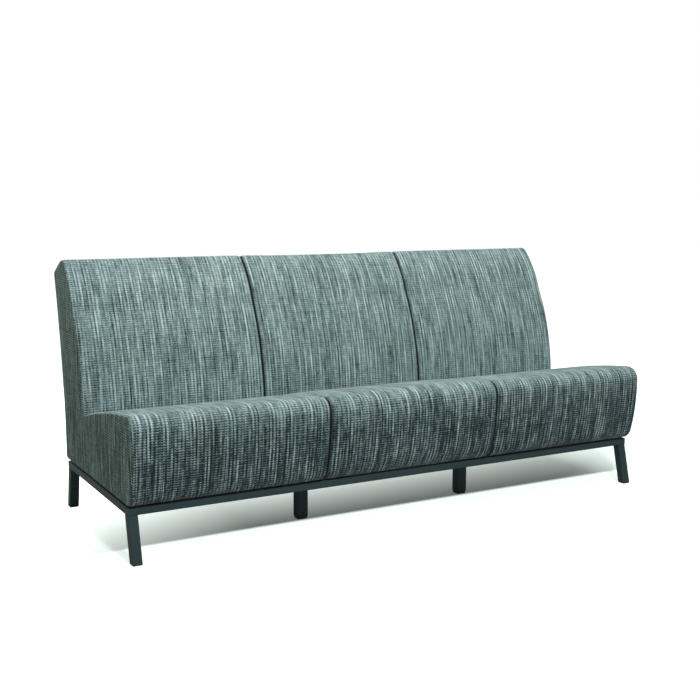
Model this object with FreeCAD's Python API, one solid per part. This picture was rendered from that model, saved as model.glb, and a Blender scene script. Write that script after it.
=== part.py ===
import FreeCAD, Part
import math
import os

# Armless three-seat sofa: a steel tube base with six legs, a timber frame on it,
# webbing, foam and fabric covers. Units are mm. X runs along the sofa, the front
# faces -Y and Z is up. Side profiles are drawn as (depth, height), where depth is
# counted back from the front face of the steel base.

# Whole sofa
seat_count = 3
seat_width = 660.0
overall_height = 872.0
frame_depth = 663.0
nose_overhang = 56.0
back_overhang = 112.0

# Steel base
rail_size = 25.4
corner_leg_size = 31.75
middle_leg_size = 38.1
tube_wall = 2.0
tube_corner = 3.0
rail_top = 170.0
front_splay = 36.0
rear_splay = 27.0
middle_leg_setback = 147.0

# Glides pressed into the corner legs
glide_base = 4.0
glide_plug = 20.0
glide_chamfer = 1.5
plug_clearance = 0.2

# Levelling feet in the middle legs
pad_size = 36.0
pad_corner = 6.0
pad_height = 9.0
pad_round = 2.5
stem_radius = 4.0
stem_length = 34.0
stem_head_radius = 8.0
stem_head_height = 3.0
pad_floor = 3.0
collar_flats = 13.0
collar_height = 4.0
turning_clearance = 0.05
insert_flange = 7.0
insert_depth = 30.0
rest_gap = 0.3

# Tabs and screws that hold the timber frame on the steel base
shadow_gap = 4.0
tab_width = 40.0
tab_depth = 36.0
tab_thickness = 3.0
tab_offsets = (220.0, 880.0)
spacer_radius = 10.0
screw_radius = 3.0
screw_length = 27.0
screw_head_radius = 6.0
screw_head_tip_radius = 4.2
screw_head_height = 3.5
screw_clearance = 0.5
pilot_clearance = 0.05

# Timber frame
panel_thickness = 18.0
rail_thickness = 22.0
base_rail_width = 50.0
front_board_setback = 5.0
rear_base_setback = 20.0
seat_rear_rail_height = 60.0
lower_back_rail_height = 60.0
top_rail_depth = 44.0
top_rail_height = 58.0
top_rail_cover = 26.0
block_leg = 60.0
block_height = 50.0
back_board_thickness = 4.0

# Webbing
strap_width = 60.0
strap_thickness = 2.0
seat_strap_count = 5
back_strap_count = 4
seat_web_front = 332.0
seat_web_rear = 290.0
back_web_bottom = 330.0
back_foam_foot = 78.0
back_web_head_setback = 1.0

# Soft layers
cover_thickness = 1.5
soft_gap = 0.3
end_cover_thickness = 2.0
end_padding = 8.0
end_panel_inset = 4.0
end_padding_inset = 5.5
dust_cover_thickness = 0.8
dust_cover_lap = 8.0
seam_gap = 1.0

# Side profile of the seat
crease_depth = 446.0
crease_height = 371.0
seat_front_height = 447.0
seat_crown = 7.0
nose_radius = 45.0
seat_pitch = 7.0
front_bulge = 7.2
tuck_depth = -27.0
tuck_rise = 37.0
tuck_bulge = 5.0
underside_start = 2.0

# Side profile of the back
back_lower_bulge = 19.0
back_middle_lean = 95.0
back_middle_drop = 162.0
back_upper_bulge = 10.5
top_edge_width = 9.0
top_edge_drop = 5.0
top_flat_width = 19.0
top_flat_drop = 2.0
chamfer_width = 91.0
chamfer_drop = 52.0
chamfer_setback = 8.0
rear_top_drop = 64.0
rear_hollow = 12.0
rear_low_overhang = 24.0
rear_low_rise = 126.0
rear_foot_overhang = 20.0
rear_foot_rise = 16.0
rear_corner_setback = 7.0
rear_corner_bulge = 4.0

# How far the covers draw in beside a seam and beside an end, as (distance, inset)
seam_draw = ((0.0, 9.0), (3.0, 4.2), (10.0, 1.8), (50.0, 0.0))
end_draw = ((0.0, 3.0), (3.0, 1.0), (10.0, 0.0))

# Worked out from the sizes above
sofa_length = seat_count * seat_width
half_length = sofa_length / 2
sofa_depth = nose_overhang + frame_depth + back_overhang
front_y = nose_overhang - sofa_depth / 2
rail_bottom = rail_top - rail_size
base_z = rail_top + shadow_gap
timber_floor = base_z + rail_thickness
seams_x = [seat_width * i - half_length for i in range(1, seat_count)]
end_face_x = half_length - end_cover_thickness
panel_outer_x = end_face_x - end_padding
panel_inner_x = panel_outer_x - panel_thickness
board_rear_depth = front_board_setback + panel_thickness
rear_base_front = frame_depth - rear_base_setback - base_rail_width
rear_depth = frame_depth + back_overhang
top_rail_top = overall_height - top_rail_cover
top_rail_bottom = top_rail_top - top_rail_height
middle_leg_depth = middle_leg_setback + middle_leg_size / 2
chamfer_end_depth = rear_depth - chamfer_setback
top_flat_end = chamfer_end_depth - chamfer_width
top_flat_start = top_flat_end - top_flat_width
top_edge_depth = top_flat_start - top_edge_width
back_web_foot_depth = crease_depth + back_foam_foot
back_web_head_depth = top_flat_start - back_web_head_setback
rear_low_depth = frame_depth + rear_low_overhang


# Plane geometry of the side profiles

def turned(direction, angle):
    c, s = math.cos(angle), math.sin(angle)
    return (direction[0] * c - direction[1] * s, direction[0] * s + direction[1] * c)


def stretch(a, b):
    """Chord direction, length and half the arc's turn of the stretch from corner a to corner b."""
    dy, dz = b[0] - a[0], b[1] - a[1]
    length = math.hypot(dy, dz)
    return (dy / length, dz / length), length, 2 * math.atan(2 * a[2] / length)


def drawn_in(corners, inset):
    """Corners and arc midpoints of a closed outline moved inwards by inset.

    Each corner is (depth, height, bulge), and bulge is the outward rise of the arc to the next one.
    """
    result = []
    count = len(corners)
    for i in range(count):
        before, here, after = corners[i - 1], corners[i], corners[(i + 1) % count]
        chord_in, _, turn_in = stretch(before, here)
        chord_out, _, turn_out = stretch(here, after)
        normal_in = turned(chord_in, turn_in + math.pi / 2)
        normal_out = turned(chord_out, math.pi / 2 - turn_out)
        bisector = (normal_in[0] + normal_out[0], normal_in[1] + normal_out[1])
        scale = inset / (1 + normal_in[0] * normal_out[0] + normal_in[1] * normal_out[1])
        corner = (here[0] + bisector[0] * scale, here[1] + bisector[1] * scale)
        inward = turned(chord_out, math.pi / 2)
        shift = inset - here[2]
        middle = ((here[0] + after[0]) / 2 + inward[0] * shift, (here[1] + after[1]) / 2 + inward[1] * shift)
        result.append((corner, middle, here[2] != 0))
    return result


def at(x, point):
    return FreeCAD.Vector(x, front_y + point[0], point[1])


def outline_edges(points, x, closed=True):
    edges = []
    last = len(points) if closed else len(points) - 1
    for i in range(last):
        start, middle, curved = points[i]
        end = points[(i + 1) % len(points)][0]
        if curved:
            edges.append(Part.Arc(at(x, start), at(x, middle), at(x, end)).toShape())
        else:
            edges.append(Part.LineSegment(at(x, start), at(x, end)).toShape())
    return edges


def outline_prism(corners, inset, x0, x1):
    wire = Part.Wire(outline_edges(drawn_in(corners, inset), x0))
    return Part.Face(wire).extrude(FreeCAD.Vector(x1 - x0, 0, 0))


def outline_loft(corners, sections):
    wires = [Part.Wire(outline_edges(drawn_in(corners, inset), x)) for x, inset in sections]
    return Part.makeLoft(wires, True, True)


def polygon_prism(points, x0, x1):
    vectors = [at(x0, p) for p in points]
    wire = Part.makePolygon(vectors + [vectors[0]])
    return Part.Face(wire).extrude(FreeCAD.Vector(x1 - x0, 0, 0))


def block(x0, x1, depth0, depth1, z0, z1):
    corner = FreeCAD.Vector(x0, front_y + depth0, z0)
    return Part.makeBox(x1 - x0, depth1 - depth0, z1 - z0, corner)


def upright(radius, height, x, depth, z):
    return Part.makeCylinder(radius, height, FreeCAD.Vector(x, front_y + depth, z))


# Corners of the profiles, walked with the solid on the left

def nose_corners():
    centre_depth = nose_radius - nose_overhang
    centre_height = seat_front_height - nose_radius
    pitch = math.radians(seat_pitch)
    rise = nose_radius * (1 - math.cos((math.pi / 2 + pitch) / 2))
    top = (centre_depth + nose_radius * math.sin(pitch), centre_height + nose_radius * math.cos(pitch), rise)
    front = (-nose_overhang, centre_height, front_bulge)
    return [top, front]


def seat_top_corners():
    tuck = (tuck_depth, rail_top + tuck_rise, tuck_bulge)
    underside = (underside_start, base_z, 0.0)
    return [(crease_depth, crease_height, seat_crown)] + nose_corners() + [tuck, underside]


def back_front_corners():
    return [
        (chamfer_end_depth, overall_height - chamfer_drop, 0.0),
        (top_flat_end, overall_height - top_flat_drop, 0.0),
        (top_flat_start, overall_height, 0.0),
        (top_edge_depth, overall_height - top_edge_drop, back_upper_bulge),
        (crease_depth + back_middle_lean, overall_height - back_middle_drop, back_lower_bulge),
    ]


def rear_corners():
    return [
        (frame_depth - rear_corner_setback, base_z, rear_corner_bulge),
        (frame_depth + rear_foot_overhang, base_z + rear_foot_rise, 0.0),
        (rear_low_depth, base_z + rear_low_rise, -rear_hollow),
        (rear_depth, overall_height - rear_top_drop, 0.0),
    ]


def end_outline():
    return back_front_corners() + seat_top_corners() + rear_corners()


def seat_outline():
    return seat_top_corners() + [(crease_depth, base_z, 0.0)]


def back_outline():
    deck = seat_web_height(crease_depth) + strap_thickness
    foot = [(crease_depth, crease_height, 0.0), (crease_depth, deck, 0.0), (rear_low_depth, deck, 0.0)]
    return back_front_corners() + foot


# Planes that the webbing lies in

def seat_web_height(depth):
    span = crease_depth + rail_thickness - front_board_setback
    slope = (seat_web_rear - seat_web_front) / span
    return seat_web_front + slope * (depth - front_board_setback)


def back_web_depth(height):
    lean = (back_web_head_depth - back_web_foot_depth) / (top_rail_bottom - back_web_bottom)
    return back_web_foot_depth + lean * (height - back_web_bottom)


# Steel base

def rounded_square(size, corner, x, y, z):
    half = size / 2
    square = Part.makeBox(size, size, 1, FreeCAD.Vector(x - half, y - half, z))
    upright_edges = [e for e in square.Edges if abs(e.tangentAt(e.FirstParameter).z) > 0.9]
    rounded = square.makeFillet(corner, upright_edges)
    return [f for f in rounded.Faces if abs(f.CenterOfMass.z - z) < 1e-6][0]


def tube_face(size, x, y, z):
    outer = rounded_square(size, tube_corner, x, y, z)
    inner = rounded_square(size - 2 * tube_wall, tube_corner - tube_wall, x, y, z)
    return outer.cut(inner).Faces[0]


def tube_run(size, start, run):
    """Square tube from start along run, which is level and along X or Y."""
    tube = tube_face(size, 0, 0, 0).extrude(FreeCAD.Vector(0, 0, run.Length))
    turn = FreeCAD.Rotation(FreeCAD.Vector(0, 0, 1), run)
    tube.Placement = FreeCAD.Placement(start, turn)
    return tube


def plan_slab(points):
    """Upright slab over a plan outline, a little taller than the rails."""
    vectors = [FreeCAD.Vector(x, y, rail_bottom - tube_wall) for x, y in points]
    wire = Part.makePolygon(vectors + [vectors[0]])
    return Part.Face(wire).extrude(FreeCAD.Vector(0, 0, rail_size + 2 * tube_wall))


def long_rail(y_side):
    """Front or rear rail, mitred at both ends."""
    y_out = front_y if y_side < 0 else front_y + frame_depth
    y_in = y_out - y_side * rail_size
    start = FreeCAD.Vector(-half_length, (y_out + y_in) / 2, rail_bottom + rail_size / 2)
    rail = tube_run(rail_size, start, FreeCAD.Vector(sofa_length, 0, 0))
    inner = half_length - rail_size
    mitres = plan_slab([(-half_length, y_out), (half_length, y_out), (inner, y_in), (-inner, y_in)])
    return rail.common(mitres)


def side_rail(x_side):
    x_out = x_side * half_length
    x_in = x_out - x_side * rail_size
    back_y = front_y + frame_depth
    start = FreeCAD.Vector((x_out + x_in) / 2, front_y, rail_bottom + rail_size / 2)
    rail = tube_run(rail_size, start, FreeCAD.Vector(0, frame_depth, 0))
    mitres = plan_slab([(x_out, front_y), (x_out, back_y), (x_in, back_y - rail_size), (x_in, front_y + rail_size)])
    return rail.common(mitres)


def cross_rail(x):
    start = FreeCAD.Vector(x, front_y + rail_size, rail_bottom + rail_size / 2)
    return tube_run(rail_size, start, FreeCAD.Vector(0, frame_depth - 2 * rail_size, 0))


def corner_leg_centre(x_side, y_side, z):
    """Centre of a corner leg at height z: it leans out towards its foot."""
    x = x_side * (half_length - corner_leg_size / 2)
    top_y = front_y if y_side < 0 else front_y + frame_depth
    splay = front_splay if y_side < 0 else rear_splay
    lean = splay * (rail_bottom - z) / rail_bottom
    return x, top_y - y_side * corner_leg_size / 2 + y_side * lean


def leaning(face_at, x_side, y_side, z0, z1):
    """Oblique prism between two heights that follows the lean of a corner leg."""
    x0, y0 = corner_leg_centre(x_side, y_side, z0)
    x1, y1 = corner_leg_centre(x_side, y_side, z1)
    return face_at(x0, y0, z0).extrude(FreeCAD.Vector(x1 - x0, y1 - y0, z1 - z0))


def corner_leg(x_side, y_side):
    return leaning(lambda x, y, z: tube_face(corner_leg_size, x, y, z), x_side, y_side, glide_base, rail_bottom)


def corner_glide(x_side, y_side):
    """Plastic glide: a base under the tube and a plug up inside it."""
    plug_size = corner_leg_size - 2 * tube_wall - 2 * plug_clearance
    base = leaning(
        lambda x, y, z: rounded_square(corner_leg_size, tube_corner, x, y, z), x_side, y_side, 0.0, glide_base
    )
    lower_edges = [e for e in base.Edges if e.CenterOfMass.z < 1e-3]
    base = base.makeChamfer(glide_chamfer, lower_edges)
    plug = leaning(
        lambda x, y, z: rounded_square(plug_size, tube_corner - tube_wall, x, y, z),
        x_side, y_side, glide_base, glide_base + glide_plug,
    )
    return base.fuse(plug).removeSplitter()


def middle_leg(x):
    y = front_y + middle_leg_depth
    foot = pad_height + rest_gap + insert_flange
    return tube_face(middle_leg_size, x, y, foot).extrude(FreeCAD.Vector(0, 0, rail_bottom - foot))


# Levelling feet: a threaded insert in the leg, a stem that turns in it and a pad that the stem turns in

def levelling_pad(x):
    y = front_y + middle_leg_depth
    pad = rounded_square(pad_size, pad_corner, x, y, 0).extrude(FreeCAD.Vector(0, 0, pad_height))
    lower_edges = [e for e in pad.Edges if e.CenterOfMass.z < 1e-3]
    pad = pad.makeFillet(pad_round, lower_edges)
    pocket_height = stem_head_height + 2 * turning_clearance
    pocket = upright(stem_head_radius + turning_clearance, pocket_height, x, middle_leg_depth, pad_floor)
    neck = upright(stem_radius + turning_clearance, pad_height, x, middle_leg_depth, pad_floor)
    return pad.cut(pocket).cut(neck)


def collar(flats, height, x, z):
    corner_radius = flats / math.sqrt(3)
    angles = [math.radians(60 * i) for i in range(6)]
    points = [(corner_radius * math.cos(a), middle_leg_depth + corner_radius * math.sin(a)) for a in angles]
    vectors = [FreeCAD.Vector(x + px, front_y + depth, z) for px, depth in points]
    wire = Part.makePolygon(vectors + [vectors[0]])
    return Part.Face(wire).extrude(FreeCAD.Vector(0, 0, height))


def levelling_stem(x):
    foot = pad_floor + turning_clearance
    head = upright(stem_head_radius, stem_head_height, x, middle_leg_depth, foot)
    shank = upright(stem_radius, stem_length, x, middle_leg_depth, foot)
    spanner_collar = collar(collar_flats, collar_height, x, pad_height + turning_clearance)
    return head.fuse(shank).fuse(spanner_collar)


def levelling_insert(x):
    """Square insert with a flange under the tube, a recess for the collar and the threaded hole."""
    y = front_y + middle_leg_depth
    foot = pad_height + rest_gap
    plug_size = middle_leg_size - 2 * tube_wall - 2 * plug_clearance
    flange = rounded_square(middle_leg_size, tube_corner, x, y, foot).extrude(FreeCAD.Vector(0, 0, insert_flange))
    plug = rounded_square(plug_size, tube_corner - tube_wall, x, y, foot + insert_flange)
    plug = plug.extrude(FreeCAD.Vector(0, 0, insert_depth))
    recess_radius = collar_flats / math.sqrt(3) + rest_gap
    recess = upright(recess_radius, collar_height + rest_gap, x, middle_leg_depth, foot)
    thread = upright(stem_radius + turning_clearance, 2 * insert_depth, x, middle_leg_depth, foot)
    return flange.fuse(plug).removeSplitter().cut(recess).cut(thread)


# Tabs, spacers and screws between the steel base and the timber frame

def tab_places():
    """Centre of each tab as (x, depth) with the side of the base it is on."""
    front_depth = rail_size + tab_depth / 2
    rear_depth_centre = frame_depth - rail_size - tab_depth / 2
    offsets = [side * offset for offset in tab_offsets for side in (-1, 1)]
    return [(x, depth) for x in offsets for depth in (front_depth, rear_depth_centre)]


def mounting_tab(x, depth):
    half_width = tab_width / 2
    half_depth = tab_depth / 2
    tab = block(x - half_width, x + half_width, depth - half_depth, depth + half_depth,
                rail_top - tab_thickness, rail_top)
    return tab.cut(upright(screw_radius + screw_clearance, rail_size, x, depth, rail_bottom))


def tab_spacer(x, depth):
    spacer = upright(spacer_radius, shadow_gap, x, depth, rail_top)
    return spacer.cut(upright(screw_radius + screw_clearance, shadow_gap, x, depth, rail_top))


def mounting_screw(x, depth):
    bearing = rail_top - tab_thickness
    foot = FreeCAD.Vector(x, front_y + depth, bearing - screw_head_height)
    head = Part.makeCone(screw_head_tip_radius, screw_head_radius, screw_head_height, foot)
    return head.fuse(upright(screw_radius, screw_length, x, depth, bearing))


# Timber frame

def end_panel(x_side):
    x0, x1 = sorted((x_side * panel_inner_x, x_side * panel_outer_x))
    return outline_prism(end_outline(), end_panel_inset, x0, x1)


def front_board():
    top = seat_web_height(board_rear_depth) - soft_gap
    return block(-panel_inner_x, panel_inner_x, front_board_setback, board_rear_depth, base_z, top)


def base_rail(depth):
    rail = block(-panel_inner_x, panel_inner_x, depth, depth + base_rail_width, base_z, timber_floor)
    pilot_height = screw_length - tab_thickness - shadow_gap + pilot_clearance
    for x, place in tab_places():
        rail = rail.cut(upright(screw_radius + pilot_clearance, pilot_height, x, place, base_z))
    return rail


def seat_rear_rail():
    top = seat_web_height(crease_depth + rail_thickness) - soft_gap
    return block(-panel_inner_x, panel_inner_x, crease_depth, crease_depth + rail_thickness,
                 top - seat_rear_rail_height, top)


def lower_back_rail():
    top = back_web_bottom + lower_back_rail_height / 2
    front = back_web_depth(top) + strap_thickness + soft_gap
    return block(-panel_inner_x, panel_inner_x, front, front + rail_thickness, top - lower_back_rail_height, top)


def top_rail_front():
    return back_web_depth(top_rail_bottom) + strap_thickness + soft_gap


def top_rail():
    front = top_rail_front()
    return block(-panel_inner_x, panel_inner_x, front, front + top_rail_depth, top_rail_bottom, top_rail_top)


def board_strip(inset0, inset1, x0, x1, corners):
    """Thin strip along an open run of the outline, between two insets."""
    outer = drawn_in(end_outline(), inset0)
    inner = drawn_in(end_outline(), inset1)
    first = len(end_outline()) - len(rear_corners()) + corners[0]
    last = len(end_outline()) - len(rear_corners()) + corners[1]
    outer_run = [outer[i % len(outer)] for i in range(first, last + 1)]
    inner_run = [inner[i % len(inner)] for i in range(first, last + 1)]
    edges = outline_edges(outer_run, x0, closed=False)
    edges += outline_edges(inner_run, x0, closed=False)
    for a, b in ((outer_run[0][0], inner_run[0][0]), (outer_run[-1][0], inner_run[-1][0])):
        edges.append(Part.LineSegment(at(x0, a), at(x0, b)).toShape())
    wire = Part.Wire(Part.__sortEdges__(edges))
    return Part.Face(wire).extrude(FreeCAD.Vector(x1 - x0, 0, 0))


def back_board():
    inset = cover_thickness + soft_gap
    return board_strip(inset, inset + back_board_thickness, -panel_inner_x, panel_inner_x, (1, 3))


def soft_space():
    """Everything in front of and above the webbing, where no timber reaches."""
    drop = strap_thickness
    bend_height = seat_web_height(back_web_foot_depth) - drop
    bend_depth = back_web_depth(bend_height) + strap_thickness + drop
    head_depth = back_web_depth(overall_height) + strap_thickness + drop
    points = [
        (-2 * nose_overhang, seat_web_height(-2 * nose_overhang) - drop),
        (bend_depth, bend_height),
        (head_depth, overall_height),
        (head_depth, 2 * overall_height),
        (-2 * nose_overhang, 2 * overall_height),
    ]
    return polygon_prism(points, -half_length, half_length)


def seam_rib(x):
    """Upright rib under a seam: it stands on the base rails and stops under the top rail."""
    half = panel_thickness / 2
    inset = cover_thickness + soft_gap + back_board_thickness
    rib = outline_prism(end_outline(), inset, x - half, x + half)
    rib = rib.common(block(x - half, x + half, board_rear_depth, rear_depth, timber_floor, top_rail_bottom))
    rib = rib.cut(soft_space())
    for rail in (seat_rear_rail(), lower_back_rail()):
        rib = rib.cut(rail)
    return rib


def corner_block(x_side, y_side):
    """Triangular glue block in a corner between an end panel and a long board."""
    x = x_side * panel_inner_x
    wall = board_rear_depth if y_side < 0 else rear_base_front + base_rail_width
    points = [(x, wall), (x - x_side * block_leg, wall), (x, wall - y_side * block_leg)]
    vectors = [FreeCAD.Vector(px, front_y + depth, timber_floor) for px, depth in points]
    wire = Part.makePolygon(vectors + [vectors[0]])
    return Part.Face(wire).extrude(FreeCAD.Vector(0, 0, block_height))


# Webbing

def strap_centres(index, count):
    """Strap positions across one seat, clear of the ribs at its seams."""
    left = seat_width * index - half_length
    pitch = seat_width / count
    return [left + pitch * (i + 0.5) for i in range(count)]


def seat_strap(x):
    front = front_board_setback
    rear = crease_depth + rail_thickness
    points = [(front, seat_web_height(front)), (rear, seat_web_height(rear))]
    points += [(depth, z + strap_thickness) for depth, z in reversed(points)]
    return polygon_prism(points, x - strap_width / 2, x + strap_width / 2)


def back_strap(x):
    low = back_web_bottom
    high = top_rail_bottom
    points = [(back_web_depth(low), low), (back_web_depth(high), high)]
    points += [(depth + strap_thickness, z) for depth, z in reversed(points)]
    return polygon_prism(points, x - strap_width / 2, x + strap_width / 2)


def straps(make_strap, count):
    places = [x for index in range(seat_count) for x in strap_centres(index, count)]
    return [make_strap(x) for x in places]


# Foam and covers

def frame_space(clearance):
    """What the timber and webbing fill below a seat and behind a back, grown by clearance."""
    front = front_board_setback - clearance
    reach = 2 * rear_depth
    under_seat = polygon_prism([
        (front, 0.0),
        (reach, 0.0),
        (reach, seat_web_height(reach) + strap_thickness + clearance),
        (front, seat_web_height(front) + strap_thickness + clearance),
    ], -half_length, half_length)
    web_head = back_web_depth(top_rail_bottom) - clearance
    crest = top_rail_top + clearance
    crest_rear = top_rail_front() + top_rail_depth
    chamfer_slope = (chamfer_drop - top_flat_drop) / (chamfer_end_depth - top_flat_end)
    behind_back = polygon_prism([
        (back_web_depth(0.0) - clearance, 0.0),
        (reach, 0.0),
        (reach, crest - chamfer_slope * (reach - crest_rear)),
        (crest_rear, crest),
        (web_head, crest),
        (web_head, top_rail_bottom),
    ], -half_length, half_length)
    return under_seat, behind_back


def seat_sections(index, trim, inset):
    """Sections of one seat's cover along X, shortened by trim at seams and drawn in by inset."""
    left = seat_width * index - half_length
    right = left + seat_width
    first, last = index == 0, index == seat_count - 1
    left_start = -end_face_x if first else left + seam_gap / 2 + trim
    right_start = end_face_x if last else right - seam_gap / 2 - trim
    left_draw = end_draw if first else seam_draw
    right_draw = end_draw if last else seam_draw
    sections = [(left_start + away, draw + inset) for away, draw in left_draw]
    sections += [(right_start - away, draw + inset) for away, draw in reversed(right_draw)]
    return sections


def between_panels():
    reach = panel_inner_x - soft_gap
    return block(-reach, reach, -2 * nose_overhang, 2 * rear_depth, 0.0, 2 * overall_height)


def end_space(x_side):
    """What an end panel and its padding fill inside the covers, with a little room."""
    panel = sorted((x_side * (panel_inner_x - soft_gap), x_side * (panel_outer_x + soft_gap)))
    padding = sorted((x_side * panel_outer_x, x_side * half_length))
    return [
        outline_prism(end_outline(), end_panel_inset - soft_gap, *panel),
        outline_prism(end_outline(), end_padding_inset - soft_gap, *padding),
    ]


def cover(outline, space, index):
    """Thin shell over one seat or back: it wraps over the end panel at an end of the sofa."""
    outer = outline_loft(outline, seat_sections(index, 0.0, 0.0))
    inner = outline_loft(outline, seat_sections(index, cover_thickness, cover_thickness))
    shell = outer.cut(inner).cut(space)
    for x_side, at_end in ((-1, index == 0), (1, index == seat_count - 1)):
        if at_end:
            for filled in end_space(x_side):
                shell = shell.cut(filled)
    return shell


def foam(outline, space, index):
    layer = cover_thickness + soft_gap
    body = outline_loft(outline, seat_sections(index, layer, layer))
    return body.common(between_panels()).cut(space)


def seat_cover(index):
    return cover(seat_outline(), frame_space(soft_gap)[0], index)


def back_cover(index):
    return cover(back_outline(), frame_space(soft_gap)[1], index)


def seat_foam(index):
    return foam(seat_outline(), frame_space(soft_gap)[0], index)


def back_foam(index):
    return foam(back_outline(), frame_space(soft_gap)[1], index)


def end_cover(x_side):
    sections = [(x_side * end_face_x, end_draw[0][1]), (x_side * half_length, end_draw[0][1] + end_cover_thickness)]
    return outline_loft(end_outline(), sections)


def end_pad(x_side):
    x0, x1 = sorted((x_side * panel_outer_x, x_side * (end_face_x - soft_gap)))
    return outline_prism(end_outline(), end_padding_inset, x0, x1)


def outside_back_cover():
    return board_strip(0.0, cover_thickness, -end_face_x, end_face_x, (0, 3))


def dust_cover():
    front = front_board_setback + panel_thickness + base_rail_width - dust_cover_lap
    rear = rear_base_front + dust_cover_lap
    return block(-panel_inner_x, panel_inner_x, front, rear, base_z - dust_cover_thickness, base_z)


# Nodes, one file each

def write(name, shape):
    shape.exportStep("parts/" + name + ".step")


def write_base():
    write("front_rail", long_rail(-1))
    write("rear_rail", long_rail(1))
    for side, x_side in (("left", -1), ("right", 1)):
        write(side + "_side_rail", side_rail(x_side))
        for end, y_side in (("front", -1), ("rear", 1)):
            write(end + "_" + side + "_leg", corner_leg(x_side, y_side))
            write(end + "_" + side + "_glide", corner_glide(x_side, y_side))
    for side, x in zip(("left", "right"), seams_x):
        write(side + "_cross_rail", cross_rail(x))
        write(side + "_middle_leg", middle_leg(x))
        write(side + "_levelling_insert", levelling_insert(x))
        write(side + "_levelling_stem", levelling_stem(x))
        write(side + "_levelling_pad", levelling_pad(x))
    write("mounting_tabs", Part.makeCompound([mounting_tab(*place) for place in tab_places()]))
    write("tab_spacers", Part.makeCompound([tab_spacer(*place) for place in tab_places()]))
    write("mounting_screws", Part.makeCompound([mounting_screw(*place) for place in tab_places()]))


def write_timber():
    for side, x_side in (("left", -1), ("right", 1)):
        write(side + "_end_panel", end_panel(x_side))
    for side, x in zip(("left", "right"), seams_x):
        write(side + "_seam_rib", seam_rib(x))
    write("front_board", front_board())
    write("front_base_rail", base_rail(board_rear_depth))
    write("rear_base_rail", base_rail(rear_base_front))
    write("seat_rear_rail", seat_rear_rail())
    write("lower_back_rail", lower_back_rail())
    write("top_rail", top_rail())
    write("back_board", back_board())
    corners = [(x_side, y_side) for x_side in (-1, 1) for y_side in (-1, 1)]
    write("corner_blocks", Part.makeCompound([corner_block(*corner) for corner in corners]))


def write_soft():
    write("seat_webbing", Part.makeCompound(straps(seat_strap, seat_strap_count)))
    write("back_webbing", Part.makeCompound(straps(back_strap, back_strap_count)))
    for index, side in enumerate(("left", "centre", "right")):
        write(side + "_seat_foam", seat_foam(index))
        write(side + "_back_foam", back_foam(index))
        write(side + "_seat_cover", seat_cover(index))
        write(side + "_back_cover", back_cover(index))
    for side, x_side in (("left", -1), ("right", 1)):
        write(side + "_end_padding", end_pad(x_side))
        write(side + "_end_cover", end_cover(x_side))
    write("outside_back_cover", outside_back_cover())
    write("dust_cover", dust_cover())


os.makedirs("parts", exist_ok=True)
write_base()
write_timber()
write_soft()
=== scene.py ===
import bpy
import math
import numpy as np
from mathutils import Matrix, Vector
from mathutils.geometry import delaunay_2d_cdt


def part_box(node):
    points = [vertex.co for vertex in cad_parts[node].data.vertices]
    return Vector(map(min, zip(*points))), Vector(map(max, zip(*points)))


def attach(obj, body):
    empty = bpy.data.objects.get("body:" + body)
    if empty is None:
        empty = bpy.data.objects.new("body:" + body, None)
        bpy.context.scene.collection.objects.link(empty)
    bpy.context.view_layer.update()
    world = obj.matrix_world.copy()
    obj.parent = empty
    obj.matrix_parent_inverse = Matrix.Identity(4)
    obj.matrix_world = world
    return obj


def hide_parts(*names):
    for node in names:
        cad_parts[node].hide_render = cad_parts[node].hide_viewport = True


# Armless three-seat sofa, dressed. Metres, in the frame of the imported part: X runs along
# the sofa, the front faces -Y, Z is up. Side profiles are (depth, height, rise), where depth
# counts back from the front face of the steel base and rise is the arc's height to the next corner.

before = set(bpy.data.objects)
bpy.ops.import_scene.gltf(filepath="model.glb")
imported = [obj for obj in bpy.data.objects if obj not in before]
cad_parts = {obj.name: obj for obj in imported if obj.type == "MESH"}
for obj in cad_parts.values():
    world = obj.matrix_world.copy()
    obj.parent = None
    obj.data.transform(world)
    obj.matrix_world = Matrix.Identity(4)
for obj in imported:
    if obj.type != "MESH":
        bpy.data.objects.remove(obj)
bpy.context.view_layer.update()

# Sizes of the part
seat_width = 0.660
half_length = 0.990
front_y = -0.3595
end_face_x = 0.988
panel_inner_x = 0.962
base_z = 0.174
deck_height = 0.2965
crease = (0.446, 0.371)
wall_height = crease[1] - deck_height

# Side profiles, fitted to the photo again: up to 12 mm from the part's at the rear corners
seat_top = [
    (*crease, 0.010),
    (-0.0045, 0.4525, 0.0165),
    (-0.057, 0.403, 0.0072),
    (-0.032, 0.207, 0.006),
    (0.002, base_z, 0.0),
]
back_front = [
    (0.768, 0.828, 0.0),
    (0.687, 0.869, 0.0),
    (0.654, 0.873, 0.0),
    (0.642, 0.867, 0.0105),
    (0.541, 0.710, 0.019),
]
rear = [
    (0.668, base_z, 0.003),
    (0.685, 0.185, 0.0),
    (0.687, 0.300, -0.012),
    (0.776, 0.816, 0.0),
]
clearance = 0.0003
profile_step = 0.002

# Cushions: how far the skin is drawn in at a seam and at an end
rounding_steps = 4
seam_half_gap = 0.0020
seam_reach = 0.007
seam_round = 0.0074
pillow_reach = 0.016
pillow_depth = 0.0024
end_reach = 0.006
end_round = 0.003
# deepest_seam and deepest_end: the draw at which the painted shade in a seam is full, between cushions and
# at an end
deepest_seam = 0.0098
deepest_end = 0.0075
crisp_x = 0.940
crease_reach = 0.016

# Cushions: rings, by their distance from a seam or by their place along X near an end
seam_rings = (0.0, 0.0005, 0.0013, 0.0026, 0.0044, 0.0068, 0.0100, 0.0150, 0.0220, 0.0310,
              0.0420, 0.0540)
padding_rings = (end_face_x, 0.98755, 0.9866, 0.9852, 0.9836, 0.9820, 0.98025)
panel_rings = (0.97985, 0.9710, 0.96190)
solid_rings = (0.96155, 0.9550, 0.9430)
lip_over_padding = 0.0052
lip_over_panel = 0.0034
lip_drop = 0.9
inner_steps = 42
cushion_spacing = 0.011
cushion_bend = math.radians(9)

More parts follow.
